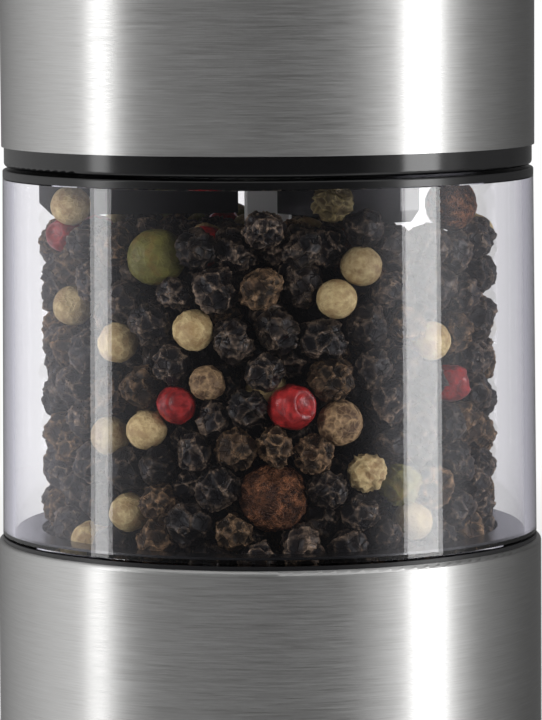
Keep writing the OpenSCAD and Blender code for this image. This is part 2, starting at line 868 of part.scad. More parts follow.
// Black ring under the head, which turns just above the tube's top
module head_ring() {
    color(black)
        difference() {
            rotate_extrude()
                difference() {
                    translate([ring_in_r, ring_z]) square([ring_r - ring_in_r, ring_h]);
                    corner_round([ring_r, ring_z], 0.45, [1, -1]);
                    corner_round([ring_in_r, ring_z], 0.6, [-1, -1]);
                }
            around(screws)
                translate([head_screw_r, 0, 0]) screw_hole(ring_z, ring_h);
        }
}

// Socket with a square hole, which the shaft drives or is driven by
module shaft_socket() {
    color("lightgray")
        difference() {
            union() {
                translate([0, 0, head_z]) cylinder(r = socket_flange_r, h = socket_flange_h);
                translate([0, 0, head_z]) cylinder(r = socket_out_r, h = socket_top - head_z);
            }
            bar(socket_in_w, shaft_bevel, head_z - past, shaft_top + 1 - head_z + past);
            ring(grip_r + grip_wire / 2 + 0.06, 0.1, grip_z - grip_wire / 2 - 0.05, grip_wire + 0.1);
        }
}

// Open wire ring in the socket that grips the shaft's end
module grip_ring() {
    color(steel)
        rotate(20)
            rotate_extrude(angle = 320)
                translate([grip_r, grip_z]) circle(r = grip_wire / 2);
}

module head_screws() {
    color(steel)
        around(screws)
            translate([head_screw_r, 0, 0]) screw(ring_z + 0.05, screw_len - 1);
}

base_shell();
base_core();
foot_ring();
window_tube();
tube_seal();
neck_spider();
mill_housing();
grind_ring();
housing_screws();
click_leaf();
adjust_dial();
snap_ring();
lift_nut();
thrust_pad();
drive_shaft();
shaft_sleeve();
shaft_clip();
spring_seat();
seat_clip();
grind_cone();
cone_carrier();
feed_wings();
burr_spring();
head_shell();
head_core();
head_ring();
shaft_socket();
grip_ring();
head_screws();
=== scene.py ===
"""Pepper mill with a clear chamber: the finish of each piece, the mixed peppercorns in
the chamber, the studio round the mill and the camera.

Sizes are in metres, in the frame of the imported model: the mill stands on z = 0, its axis
is x = y = 0, and its front faces -Y.
"""

import math

import bpy
import numpy as np
from mathutils import Euler, Matrix, Quaternion, Vector


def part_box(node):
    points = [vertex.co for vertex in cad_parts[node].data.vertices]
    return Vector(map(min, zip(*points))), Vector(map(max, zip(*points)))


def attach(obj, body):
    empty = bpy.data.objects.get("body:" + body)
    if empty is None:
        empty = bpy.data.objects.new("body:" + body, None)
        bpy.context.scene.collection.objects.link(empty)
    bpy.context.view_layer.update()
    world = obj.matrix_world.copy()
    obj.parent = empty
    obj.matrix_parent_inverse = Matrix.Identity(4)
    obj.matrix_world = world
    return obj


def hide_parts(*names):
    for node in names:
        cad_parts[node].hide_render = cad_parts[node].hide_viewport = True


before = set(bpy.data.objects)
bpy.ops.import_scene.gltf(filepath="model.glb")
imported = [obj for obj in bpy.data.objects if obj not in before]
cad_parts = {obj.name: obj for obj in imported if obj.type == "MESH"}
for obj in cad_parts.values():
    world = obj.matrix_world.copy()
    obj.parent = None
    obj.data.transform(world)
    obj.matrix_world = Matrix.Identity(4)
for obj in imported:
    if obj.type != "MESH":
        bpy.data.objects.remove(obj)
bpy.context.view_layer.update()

MM = 0.001

# ---------------------------------------------------------------- the camera


CAMERA_AT = (0.2 * MM, -448.3 * MM, 105.0 * MM)
CAMERA_DOWN, CAMERA_ROLL = 5.32, -0.33  # degrees


def place_camera():
    """A long lens a little above the middle of the chamber, tilted down, with a slight roll."""
    data = bpy.data.cameras.new("camera")
    data.lens = 229.5
    data.sensor_width = 36
    data.clip_start = 0.01
    data.clip_end = 50
    camera = bpy.data.objects.new("camera", data)
    bpy.context.scene.collection.objects.link(camera)
    tilt = Euler((math.radians(90 - CAMERA_DOWN), 0, 0)).to_matrix()
    roll = Euler((0, 0, math.radians(CAMERA_ROLL))).to_matrix()
    camera.matrix_world = Matrix.Translation(CAMERA_AT) @ (tilt @ roll).to_4x4()
    bpy.context.scene.camera = camera


place_camera()

# ---------------------------------------------------------------- shader building


def feed(tree, made, inputs):
    """Gives a node its inputs, each a value or another socket."""
    for name, value in inputs.items():
        if isinstance(value, bpy.types.NodeSocket):
            tree.links.new(value, made.inputs[name])
        else:
            made.inputs[name].default_value = value


def add(tree, kind, inputs=None, **settings):
    """One shader node: its own settings, then its inputs."""
    made = tree.nodes.new("ShaderNode" + kind)
    for name, value in settings.items():
        setattr(made, name, value)
    feed(tree, made, inputs or {})
    return made


def maths(tree, operation, a, b=0.0):
    """The result of one sum on two numbers or sockets."""
    return add(tree, "Math", {0: a, 1: b}, operation=operation).outputs[0]


def between(tree, value, low, high, to_low=0.0, to_high=1.0):
    """The value carried from low..high to to_low..to_high, and held at the ends."""
    inputs = {
        "Value": value, "From Min": low, "From Max": high,
        "To Min": to_low, "To Max": to_high,
    }
    return add(tree, "MapRange", inputs).outputs[0]


def mixed(tree, share, a, b, blend="MIX"):
    """Two colours mixed by share. A Mix node takes its colours at inputs 6 and 7."""
    return add(tree, "Mix", {0: share, 6: a, 7: b}, data_type="RGBA", blend_type=blend).outputs[2]


def colour(red, green, blue):
    """An opaque colour."""
    return (red, green, blue, 1.0)


WHITE = colour(1, 1, 1)


def grey(tree, level):
    """A grey from one number."""
    return add(tree, "CombineColor", {0: level, 1: level, 2: level}).outputs[0]


def object_parts(tree):
    """The three Object coordinates."""
    place = add(tree, "TexCoord").outputs["Object"]
    return add(tree, "SeparateXYZ", {0: place}).outputs


def object_place(tree, scale=(1, 1, 1)):
    """Object coordinates, stretched by scale."""
    place = add(tree, "TexCoord").outputs["Object"]
    return add(tree, "Mapping", {"Vector": place, "Scale": scale}).outputs[0]


def new_group(name, inputs, outputs):
    """An empty shader group with named sockets: (name, kind, default) in, (name, kind) out."""
    tree = bpy.data.node_groups.new(name, "ShaderNodeTree")
    for label, kind, value in inputs:
        socket = tree.interface.new_socket(label, in_out="INPUT", socket_type="NodeSocket" + kind)
        socket.default_value = value
    for label, kind in outputs:
        tree.interface.new_socket(label, in_out="OUTPUT", socket_type="NodeSocket" + kind)
    given = tree.nodes.new("NodeGroupInput").outputs
    result = tree.nodes.new("NodeGroupOutput").inputs
    return tree, given, result


def use_group(tree, group, inputs):
    """A shared effect placed in a material with its own values."""
    return add(tree, "Group", inputs, node_tree=group).outputs


def new_material(name):
    """A material with its Principled shader ready."""
    material = bpy.data.materials.new(name)
    material.use_nodes = True
    tree = material.node_tree
    return material, tree, tree.nodes["Principled BSDF"]


def bump(tree, shader, height, distance, strength=1.0):
    """Feeds a height in 0..1, worth distance metres, to the shader's normal."""
    inputs = {"Height": height, "Distance": distance, "Strength": strength}
    made = add(tree, "Bump", inputs)
    tree.links.new(made.outputs[0], shader.inputs["Normal"])


# ---------------------------------------------------------------- shared effects


def brush_marks_group():
    """Fine parallel scratches: Place is stretched so that they run along its short scale."""
    tree, given, result = new_group(
        "brush marks",
        [("Place", "Vector", (0, 0, 0)), ("Contrast", "Float", 1.0)],
        [("Shade", "Float"), ("Height", "Float")],
    )
    fine = add(tree, "TexNoise", {
        "Vector": given["Place"], "Scale": 1.0, "Detail": 5.0, "Roughness": 0.65,
    })
    wide = add(tree, "TexNoise", {"Vector": given["Place"], "Scale": 0.3, "Detail": 2.0})
    shade = maths(tree, "ADD", maths(tree, "MULTIPLY", fine.outputs[0], 0.8),
                  maths(tree, "MULTIPLY", wide.outputs[0], 0.2))
    tree.links.new(fine.outputs[0], result["Height"])
    shade = maths(tree, "MULTIPLY", maths(tree, "SUBTRACT", shade, 0.5), given["Contrast"])
    shade = maths(tree, "ADD", shade, 0.5)
    tree.links.new(shade, result["Shade"])
    return tree


def moulded_grain_group():
    """The faint grain of moulded plastic: a height, and a tone that drifts over the piece."""
    tree, given, result = new_group(
        "moulded grain",
        [("Grain", "Float", 4000.0)],
        [("Height", "Float"), ("Tone", "Float")],
    )
    place = object_place(tree)
    grain = add(tree, "TexNoise", {"Vector": place, "Scale": given["Grain"], "Detail": 3.0})
    drift = add(tree, "TexNoise", {"Vector": place, "Scale": 90.0, "Detail": 2.0})
    tree.links.new(grain.outputs[0], result["Height"])
    tree.links.new(drift.outputs[0], result["Tone"])
    return tree


BRUSH_MARKS = brush_marks_group()
MOULDED_GRAIN = moulded_grain_group()

# ---------------------------------------------------------------- finishes of the mill


MARKS_ALONG, MARKS_ACROSS = 240.0, 11000.0  # how many of the shells' brush marks a metre holds


def brushed_shell_steel():
    """Stainless steel brushed round the mill: the marks circle the sides and the top."""
    material, tree, shader = new_material("brushed shell steel")
    parts = object_parts(tree)
    across = maths(tree, "ADD", maths(tree, "MULTIPLY", parts[0], parts[0]),
                   maths(tree, "MULTIPLY", parts[1], parts[1]))
    out = maths(tree, "SQRT", across)
    run = maths(tree, "SUBTRACT", parts[2], out)
    stretched = add(tree, "CombineXYZ", {
        0: maths(tree, "MULTIPLY", parts[0], MARKS_ALONG),
        1: maths(tree, "MULTIPLY", parts[1], MARKS_ALONG),
        2: maths(tree, "MULTIPLY", run, MARKS_ACROSS),
    }).outputs[0]
    marks = use_group(tree, BRUSH_MARKS, {"Place": stretched, "Contrast": 2.0})
    base = mixed(tree, marks["Shade"], colour(0.48, 0.475, 0.465), colour(0.72, 0.72, 0.715))
    tree.links.new(base, shader.inputs["Base Color"])
    rough = between(tree, marks["Shade"], 0.25, 0.75, 0.33, 0.47)
    tree.links.new(rough, shader.inputs["Roughness"])
    shader.inputs["Metallic"].default_value = 1.0
    shader.inputs["Anisotropic"].default_value = 0.9
    shader.inputs["Anisotropic Rotation"].default_value = 0.25
    tangent = add(tree, "Tangent", direction_type="RADIAL", axis="Z")
    tree.links.new(tangent.outputs[0], shader.inputs["Tangent"])
    bump(tree, shader, marks["Height"], 0.000004, 0.6)
    return material


def drawn_steel(name, tint, rough, along, metal=1.0):
    """Plain steel with drawing or turning marks along one axis."""
    material, tree, shader = new_material(name)
    scale = [9000.0, 9000.0, 9000.0]
    scale["xyz".index(along)] = 120.0
    marks = use_group(tree, BRUSH_MARKS, {"Place": object_place(tree, scale), "Contrast": 1.2})
    dark = colour(*(part * 0.82 for part in tint))
    base = mixed(tree, marks["Shade"], dark, colour(*tint))
    tree.links.new(base, shader.inputs["Base Color"])
    tree.links.new(between(tree, marks["Shade"], 0.3, 0.7, rough - 0.05, rough + 0.05),
                   shader.inputs["Roughness"])
    shader.inputs["Metallic"].default_value = metal
    bump(tree, shader, marks["Height"], 0.000003, 0.6)
    return material


def moulding(name, tint, rough, grain=4000.0, depth=0.000006, shine=0.5):
    """Moulded plastic, ceramic or rubber: an even colour that drifts a little, and fine grain."""
    material, tree, shader = new_material(name)
    found = use_group(tree, MOULDED_GRAIN, {"Grain": grain})
    low = colour(*(part * 0.85 for part in tint))
    high = colour(*(min(1.0, part * 1.15) for part in tint))
    tree.links.new(mixed(tree, found["Tone"], low, high), shader.inputs["Base Color"])
    tree.links.new(between(tree, found["Tone"], 0.3, 0.7, rough - 0.04, rough + 0.04),
                   shader.inputs["Roughness"])
    shader.inputs["Specular IOR Level"].default_value = shine
    bump(tree, shader, found["Height"], depth, 0.5)
    return material


def clear_acrylic():
    """Acrylic that bends light, and lets the lamps reach the pepper behind it."""
    material, tree, shader = new_material("clear acrylic")
    shader.inputs["Base Color"].default_value = colour(0.99, 0.985, 0.995)
    shader.inputs["Roughness"].default_value = 0.0
    shader.inputs["IOR"].default_value = 1.49
    shader.inputs["Transmission Weight"].default_value = 1.0
    clear = add(tree, "BsdfTransparent", {"Color": colour(0.96, 0.96, 0.965)})
    path = add(tree, "LightPath").outputs["Is Shadow Ray"]
    both = add(tree, "MixShader", {0: path, 1: shader.outputs[0], 2: clear.outputs[0]})
    tree.links.new(both.outputs[0], tree.nodes["Material Output"].inputs["Surface"])
    return material


SHELL_STEEL = brushed_shell_steel()
SHAFT_STEEL = drawn_steel("satin shaft steel", (0.84, 0.835, 0.82), 0.5, "z", 0.35)
SCREW_STEEL = drawn_steel("bright screw steel", (0.66, 0.65, 0.63), 0.24, "x")
SPRING_STEEL = drawn_steel("spring wire steel", (0.60, 0.60, 0.58), 0.28, "y")
BLACK_MOULDING = moulding("black moulding", (0.0075, 0.0075, 0.0085), 0.36)
SATIN_MOULDING = moulding("satin black moulding", (0.0045, 0.0045, 0.005), 0.22, depth=0.000003)
GLOSSY_MOULDING = moulding("glossy black moulding", (0.005, 0.005, 0.0055), 0.14, depth=0.000002)
GREY_MOULDING = moulding("grey moulding", (0.055, 0.055, 0.06), 0.42)
WHITE_ACETAL = moulding("white acetal", (0.78, 0.77, 0.74), 0.38)
BRONZE = drawn_steel("sintered bronze", (0.55, 0.34, 0.16), 0.45, "z")
CERAMIC = moulding("grinder ceramic", (0.80, 0.77, 0.70), 0.5, grain=2500.0)
FOOT_RUBBER = moulding("foot rubber", (0.02, 0.02, 0.02), 0.7, 2000.0, 0.00002, 0.3)
ACRYLIC = clear_acrylic()

FINISHES = {
    "base_shell": SHELL_STEEL, "head_shell": SHELL_STEEL,
    "base_core": BLACK_MOULDING, "head_core": BLACK_MOULDING, "head_ring": GLOSSY_MOULDING,
    "neck_spider": SATIN_MOULDING, "adjust_dial": BLACK_MOULDING, "mill_housing": GREY_MOULDING,
    "lift_nut": GREY_MOULDING, "cone_carrier": GREY_MOULDING, "feed_wings": GREY_MOULDING,
    "shaft_socket": WHITE_ACETAL, "shaft_sleeve": WHITE_ACETAL, "spring_seat": WHITE_ACETAL,
    "thrust_pad": BRONZE, "grind_ring": CERAMIC, "grind_cone": CERAMIC,
    "foot_ring": FOOT_RUBBER, "tube_seal": FOOT_RUBBER, "grip_ring": FOOT_RUBBER,
    "drive_shaft": SHAFT_STEEL, "click_leaf": SPRING_STEEL, "snap_ring": SPRING_STEEL,
    "shaft_clip": SPRING_STEEL, "seat_clip": SPRING_STEEL, "burr_spring": SPRING_STEEL,
    "housing_screws": SCREW_STEEL, "head_screws": SCREW_STEEL, "window_tube": ACRYLIC,
}


def dress(piece, material):
    """Gives a piece one material."""
    piece.data.materials.clear()
    piece.data.materials.append(material)


for name, material in FINISHES.items():
    dress(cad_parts[name], material)

# ---------------------------------------------------------------- finishes of the pepper


def berry_skin_group():
    """The skin of a dried berry: dark in its hollows as painted shade, and pale on its crests and
    along a net of thin raised wrinkles, partly their own paler colour and partly a painted highlight,
    with blotches and pores."""
    tree, given, result = new_group(
        "berry skin",
        [("Hollow", "Color", (0.01, 0.01, 0.01, 1)), ("Crest", "Color", (0.04, 0.03, 0.03, 1)),
         ("Blotch", "Color", (0.02, 0.015, 0.01, 1)), ("Blotches", "Float", 0.3),
         ("Spread", "Float", 0.5), ("Net", "Float", 900.0), ("Net Width", "Float", 0.14),
         ("Net Share", "Float", 0.6), ("Sharpness", "Float", 1.0)],
        [("Color", "Color"), ("Height", "Float"), ("Worn And Lit", "Float")],
    )
    place = object_place(tree)
    ridge = add(tree, "Attribute", attribute_name="ridge").outputs["Fac"]
    tone = add(tree, "Attribute", attribute_name="tone").outputs["Fac"]
    pores = add(tree, "TexNoise", {"Vector": place, "Scale": 3400.0, "Detail": 3.0})
    patches = add(tree, "TexNoise", {"Vector": place, "Scale": 700.0, "Detail": 3.0})
    sway = add(tree, "VectorMath", {0: patches.outputs[1], 1: (0.5, 0.5, 0.5)}, operation="SUBTRACT")
    sway = add(tree, "VectorMath", {0: sway.outputs[0], "Scale": 0.0012}, operation="SCALE")
    swayed = add(tree, "VectorMath", {0: place, 1: sway.outputs[0]}, operation="ADD")
    where = {"Vector": swayed.outputs[0], "Scale": given["Net"]}
    cells = add(tree, "TexVoronoi", where, feature="DISTANCE_TO_EDGE")
    net = maths(tree, "DIVIDE", cells.outputs["Distance"], given["Net Width"])
    net = between(tree, net, 0.0, 1.0, 1.0, 0.0)
    others = maths(tree, "SUBTRACT", 1.0, given["Net Share"])
    crests = maths(tree, "ADD", maths(tree, "MULTIPLY", net, given["Net Share"]),
                   maths(tree, "MULTIPLY", ridge, others))
    worn_and_lit = maths(tree, "ADD", crests, between(tree, pores.outputs[0], 0.3, 0.7, -0.2, 0.2))
    worn_and_lit = maths(tree, "POWER", between(tree, worn_and_lit, 0.1, 0.95), given["Sharpness"])
    # painted shade in the hollows and painted highlight on the crests and wrinkles, over their own
    # paler colour
    base = mixed(tree, worn_and_lit, given["Hollow"], given["Crest"])
    blot = between(tree, patches.outputs[0], 0.50, 0.62)
    base = mixed(tree, maths(tree, "MULTIPLY", blot, given["Blotches"]), base, given["Blotch"])
    shade = maths(tree, "MULTIPLY", maths(tree, "SUBTRACT", tone, 0.5), given["Spread"])
    shade = maths(tree, "ADD", shade, 1.0)
    base = mixed(tree, 1.0, base, grey(tree, shade), blend="MULTIPLY")
    height = maths(tree, "ADD", maths(tree, "MULTIPLY", net, 0.8),
                   maths(tree, "MULTIPLY", pores.outputs[0], 0.3))
    tree.links.new(base, result["Color"])
    tree.links.new(height, result["Height"])
    tree.links.new(worn_and_lit, result["Worn And Lit"])
    return tree


BERRY_SKIN = berry_skin_group()


def berry_skin(name, hollow, crest, blotch, blotches=0.3, spread=0.6, rough=(0.62, 0.45),
               depth=0.00012, shine=0.35, net=(900.0, 0.14, 0.6), sharpness=1.0):
    """The material of one kind of berry. The hollow colour stands for painted shade, and the crest
    colour is partly the crests' own paler colour and partly a painted highlight. net is the wrinkles'
    scale, width and share, and a high sharpness keeps the pale colour to the very crests."""
    material, tree, shader = new_material(name)
    found = use_group(tree, BERRY_SKIN, {
        "Hollow": colour(*hollow), "Crest": colour(*crest), "Blotch": colour(*blotch),
        "Blotches": blotches, "Spread": spread,
        "Net": net[0], "Net Width": net[1], "Net Share": net[2], "Sharpness": sharpness,
    })
    tree.links.new(found["Color"], shader.inputs["Base Color"])
    tree.links.new(between(tree, found["Worn And Lit"], 0.0, 1.0, *rough), shader.inputs["Roughness"])
    shader.inputs["Specular IOR Level"].default_value = shine
    bump(tree, shader, found["Height"], depth, 0.9)
    return material


# hollow colours are painted shade; crest colours are partly the crests' own paler colour and partly a
# painted highlight
BERRY_SKINS = {
    "black": berry_skin("black pepper skin", (0.0045, 0.004, 0.005), (0.26, 0.185, 0.13),
                        (0.012, 0.007, 0.005), 0.5, 1.2, (0.46, 0.34), 0.0002, 0.4,
                        net=(800.0, 0.06, 0.18), sharpness=3.4),
    "brown": berry_skin("brown pepper skin", (0.012, 0.008, 0.005), (0.36, 0.22, 0.12),
                        (0.040, 0.020, 0.010), 0.5, 0.7, depth=0.0002, net=(850.0, 0.07, 0.25),
                        sharpness=2.2),
    "cream": berry_skin("white pepper skin", (0.36, 0.25, 0.115), (0.60, 0.475, 0.25),
                        (0.24, 0.13, 0.060), 0.5, 0.5, (0.55, 0.5), 0.00005,
                        net=(1900.0, 0.22, 0.25)),
    "tan": berry_skin("tan pepper skin", (0.09, 0.052, 0.030), (0.42, 0.28, 0.15),
                      (0.09, 0.05, 0.03), 0.4, 0.4, depth=0.0001, net=(1300.0, 0.16, 0.35)),
    "green": berry_skin("green pepper skin", (0.105, 0.100, 0.024), (0.19, 0.175, 0.045),
                        (0.20, 0.085, 0.02), 0.35, 0.3, (0.45, 0.38), 0.00004,
                        net=(1500.0, 0.2, 0.25)),
    "olive": berry_skin("olive pepper skin", (0.05, 0.036, 0.016), (0.19, 0.15, 0.065),
                        (0.08, 0.05, 0.03), 0.4),
    "red": berry_skin("pink pepper skin", (0.17, 0.007, 0.008), (0.50, 0.035, 0.034),
                      (0.11, 0.008, 0.008), 0.5, 0.4, (0.32, 0.26), 0.00003, 0.5,
                      net=(500.0, 0.08, 0.15)),
    "allspice": berry_skin("allspice skin", (0.022, 0.009, 0.006), (0.36, 0.145, 0.065),
                           (0.03, 0.013, 0.009), 0.6, 0.3, (0.6, 0.45), 0.00025,
                           net=(3200.0, 0.3, 0.25), sharpness=1.6),
}

# ---------------------------------------------------------------- modelling


def nothing_selected():
    """Ends any editing and deselects everything."""
    if bpy.context.mode != "OBJECT":
        bpy.ops.object.mode_set(mode="OBJECT")
    bpy.ops.object.select_all(action="DESELECT")


def only_selected(piece):
    """Selects one piece and makes it the active one."""
    nothing_selected()
    bpy.context.view_layer.objects.active = piece
    piece.select_set(True)


def named(name):
    """The primitive that was just added, under its name."""
    piece = bpy.context.object
    piece.name = piece.data.name = name
    return piece


def turned(name, profile, steps):
    """A turned piece: a ring of edges, drawn out point by point along a closed profile of
    (radius, height), and joined to its start."""
    nothing_selected()
    radius, height = profile[0]
    bpy.ops.mesh.primitive_circle_add(vertices=steps, radius=radius)
    piece = named(name)
    bpy.ops.object.mode_set(mode="EDIT")
    bpy.ops.mesh.select_mode(type="EDGE")
    bpy.ops.mesh.select_all(action="SELECT")
    bpy.ops.transform.translate(value=(0, 0, height))
    for wider, higher in [*profile[1:], profile[0]]:
        step = {"value": (0, 0, higher - height)}
        bpy.ops.mesh.extrude_edges_move(TRANSFORM_OT_translate=step)
        grow = wider / radius
        bpy.ops.transform.resize(value=(grow, grow, 1), center_override=(0, 0, higher))
        radius, height = wider, higher
    bpy.ops.mesh.select_all(action="SELECT")
    bpy.ops.mesh.remove_doubles(threshold=0.000002)
    bpy.ops.mesh.normals_make_consistent(inside=False)
    bpy.ops.object.mode_set(mode="OBJECT")
    return piece


def finish_piece(piece, body, material):
    """Smooth shading, a material and the body that the piece rides on."""
    only_selected(piece)
    bpy.ops.object.shade_smooth_by_angle(angle=math.radians(20))
    dress(piece, material)
    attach(piece, body)


BORE_R = 22.4 * MM                # where the tube's flange and the pepper's heap end
SPIGOT_R, HOLLOW_R = 24.5 * MM, 25.1 * MM
SHOULDER_Z, FLANGE_Z = 46.42 * MM, 46.9 * MM
TAPER = 0.3 * MM                  # how much less the tube's radius is at its top


def chamber_tube():
    """The clear chamber: a thin, faintly tapered wall on a flange and a spigot, and the black
    ledge that lies on the flange round the pepper."""
    low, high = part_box("window_tube")
    foot_r, top_r = high.x, high.x - TAPER
    edge, fine_edge, gap = 0.25 * MM, 0.1 * MM, 0.04 * MM
    tube = turned("chamber_tube", [
        (BORE_R, low.z + edge), (BORE_R + edge, low.z), (SPIGOT_R - edge, low.z),
        (SPIGOT_R, low.z + edge), (SPIGOT_R, SHOULDER_Z), (foot_r - edge, SHOULDER_Z),
        (foot_r, SHOULDER_Z + edge), (top_r, high.z - fine_edge), (top_r - fine_edge, high.z),
        (HOLLOW_R - fine_edge, high.z), (HOLLOW_R - 2 * fine_edge, high.z - fine_edge),
        (HOLLOW_R, FLANGE_Z), (BORE_R, FLANGE_Z),
    ], 384)
    finish_piece(tube, "base", ACRYLIC)
    # the shoulder's underside shows the black of the core that it stands on
    tube.data.materials.append(SATIN_MOULDING)
    for face in tube.data.polygons:
        if face.normal.z < -0.9 and abs(face.center.z - SHOULDER_Z) < gap:
            face.material_index = 1
    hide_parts("window_tube")
    ledge_r = HOLLOW_R - 2 * gap
    ledge = turned("chamber_ledge", [
        (BORE_R, FLANGE_Z + gap), (ledge_r, FLANGE_Z + gap),
        (ledge_r, FLANGE_Z + edge), (BORE_R, FLANGE_Z + edge),
    ], 256)
    finish_piece(ledge, "base", SATIN_MOULDING)


chamber_tube()

# ---------------------------------------------------------------- the pepper in the chamber

RNG = np.random.default_rng(7)
CLEAR = 0.05              # mm between the berries and the bore
TAKEN = 3.4 * MM          # radius of the room that the turning shaft takes up
FUNNEL = ((15.15 * MM, 28.55 * MM), (BORE_R, 38.35 * MM))
FLOOR_Z = 33.0 * MM       # clear of the feed wings at their highest
UNDER_ARMS_Z = 77.5 * MM
HEAP_H = 39.0 * MM        # of the bore that the heap fills, above the funnel
FUNNEL_ROOM = 7.4e-6      # cubic metres of heap in the funnel
FILLING = 0.65            # how much of a heap is berry
BALL = 4.19               # volume of a ball of radius 1

# a dip in the top of the heap, right of the middle: its middle and half width, where it
# starts towards the back, and how high the berries reach in it
HOLLOW_X, HOLLOW_HALF, HOLLOW_Y, HOLLOW_Z = 14.6 * MM, 1.6 * MM, -8 * MM, 74.8 * MM

# berries that lie against the front of the tube: kind, form, bearing from the front to the
# right in degrees, height and radius in mm
PLACED = [
    ("green", "plain", -32, 74.6, 2.75), ("cream", "veined", -20, 67.9, 2.0),
    ("cream", "plain", 25, 73.8, 1.95), ("cream", "plain", 18, 70.8, 1.9),
    ("cream", "veined", -44, 66.4, 1.95), ("cream", "plain", -34, 58.3, 1.9),
    ("cream", "plain", -47, 57.4, 1.9), ("cream", "wrinkled", 26, 54.3, 1.9),
    ("cream", "veined", -40, 50.3, 1.9), ("cream", "plain", 48, 66.3, 1.9),
    ("cream", "plain", -67, 79.0, 1.95), ("cream", "veined", -56, 47.1, 1.9),
    ("cream", "plain", 41, 49.3, 1.9), ("cream", "plain", -66, 69.4, 1.95),
    ("tan", "veined", -16, 63.0, 1.7), ("tan", "veined", 19, 59.1, 2.15),
    ("red", "dimpled", 6, 60.7, 2.35), ("red", "dimpled", -25, 60.8, 1.95),
    ("red", "dimpled", 57, 62.0, 1.95), ("red", "dimpled", -71, 76.1, 1.8),
    ("allspice", "grained", 1, 52.1, 3.3), ("olive", "wrinkled", 17, 80.0, 1.95),
    ("black", "wrinkled", 26, 77.4, 1.9), ("brown", "wrinkled", -2, 71.7, 2.15),
    ("green", "wrinkled", 37, 52.9, 2.05),
    ("brown", "wrinkled", 68, 47.1, 2.05), ("allspice", "grained", 61, 79.0, 2.5),
    ("black", "wrinkled", -1, 77.4, 2.0),
]

# what the rest of the mixture is: kind, form, share, least and greatest radius in mm
MIXTURE = [
    ("black", "wrinkled", 0.64, 1.85, 2.3), ("brown", "wrinkled", 0.15, 1.8, 2.2),
    ("cream", "plain", 0.05, 1.8, 2.15), ("cream", "veined", 0.05, 1.8, 2.15),
    ("tan", "veined", 0.03, 1.7, 2.1), ("green", "wrinkled", 0.04, 1.9, 2.4),
    ("red", "dimpled", 0.014, 1.8, 2.2), ("allspice", "grained", 0.006, 2.6, 3.2),
]


def berry_list():
    """The berries' kinds, forms and radii, and the places of the listed ones."""
    kinds, forms, radii, places = [], [], [], []
    for kind, form, bearing, height, radius in PLACED:
        angle, out = math.radians(bearing), BORE_R - (radius + CLEAR) * MM
        kinds.append(kind)
        forms.append(form)
        radii.append(radius * MM)
        places.append((out * math.sin(angle), -out * math.cos(angle), height * MM))
    shares = np.cumsum([row[2] for row in MIXTURE])
    room = FILLING * (math.pi * (BORE_R ** 2 - TAKEN ** 2) * HEAP_H + FUNNEL_ROOM)
    filled = BALL * sum(radius ** 3 for radius in radii)
    while filled < room:
        pick = int(np.searchsorted(shares, RNG.random() * shares[-1]))
        kind, form, _, least, greatest = MIXTURE[pick]
        radius = RNG.uniform(least, greatest) * MM
        kinds.append(kind)
        forms.append(form)
        radii.append(radius)
        filled += BALL * radius ** 3
    return kinds, forms, np.array(radii), np.array(places)


TINY = 1e-9  # keeps divisions from failing
STEPS, SINKING_STEPS = 700, 500
SINK = 0.02 * MM
LOOK_EVERY, NEAR = 10, 1.0 * MM  # how often, and how wide, neighbours are looked for


def keep_in_chamber(place, radii):
    """Puts berries back inside the bore and the funnel, above the floor, clear of the shaft
    and under the arms."""
    x, y, z = place.T
    out = np.hypot(x, y) + TINY
    (low_r, low_z), (high_r, high_z) = FUNNEL
    slope = math.hypot(high_r - low_r, high_z - low_z)
    across, down = (high_z - low_z) / slope, (high_r - low_r) / slope
    deep = (out - low_r) * across - (z - low_z) * down + radii
    deep = np.where(z < high_z + radii, np.maximum(deep, 0), 0)
    moved = out - deep * across
    z += deep * down
    moved = np.minimum(moved, BORE_R - radii - CLEAR * MM)
    moved = np.maximum(moved, TAKEN + radii)
    x *= moved / out
    y *= moved / out
    np.maximum(z, FLOOR_Z + radii, out=z)
    hollow = (np.abs(x - HOLLOW_X) < HOLLOW_HALF + radii) & (y > HOLLOW_Y)
    top = np.where(hollow, HOLLOW_Z, UNDER_ARMS_Z) - radii
    np.minimum(z, top, out=z)


def settle(radii, placed):
    """Lets the berries sink and push each other apart, while the listed ones stay put."""
    count, kept = len(radii), len(placed)
    turn = RNG.uniform(0, 2 * math.pi, count)
    out = np.sqrt(RNG.uniform(0.04, 1, count)) * (BORE_R - 2.2 * MM)
    height = RNG.uniform(FLOOR_Z, UNDER_ARMS_Z, count)
    place = np.stack([out * np.cos(turn), out * np.sin(turn), height], axis=1)
    place[:kept] = placed
    free = np.ones(count)
    free[:kept] = 0
    for step in range(STEPS):
        if step % LOOK_EVERY == 0:
            gap = place[:, None, :] - place[None, :, :]
            near = np.sqrt((gap * gap).sum(axis=2)) < radii[:, None] + radii[None, :] + NEAR
            first, second = np.nonzero(np.triu(near, 1))
            weight = free[first] + free[second] + TINY
        if step < SINKING_STEPS:
            place[:, 2] -= free * SINK
        for _ in range(2):
            apart = place[first] - place[second]
            length = np.sqrt((apart * apart).sum(axis=1)) + TINY
            overlap = np.maximum(radii[first] + radii[second] - length, 0) * 0.8
            push = apart * (overlap / length / weight)[:, None]
            for axis in range(3):
                place[:, axis] += free * (
                    np.bincount(first, push[:, axis], count)
                    - np.bincount(second, push[:, axis], count))
        keep_in_chamber(place, radii)
        place[:kept] = placed
    return place


def pattern(name, kind, size, **settings):
    """A procedural pattern for the Displace modifier."""
    texture = bpy.data.textures.new(name, kind)
    texture.noise_scale = size
    for key, value in settings.items():
        setattr(texture, key, value)
    return texture


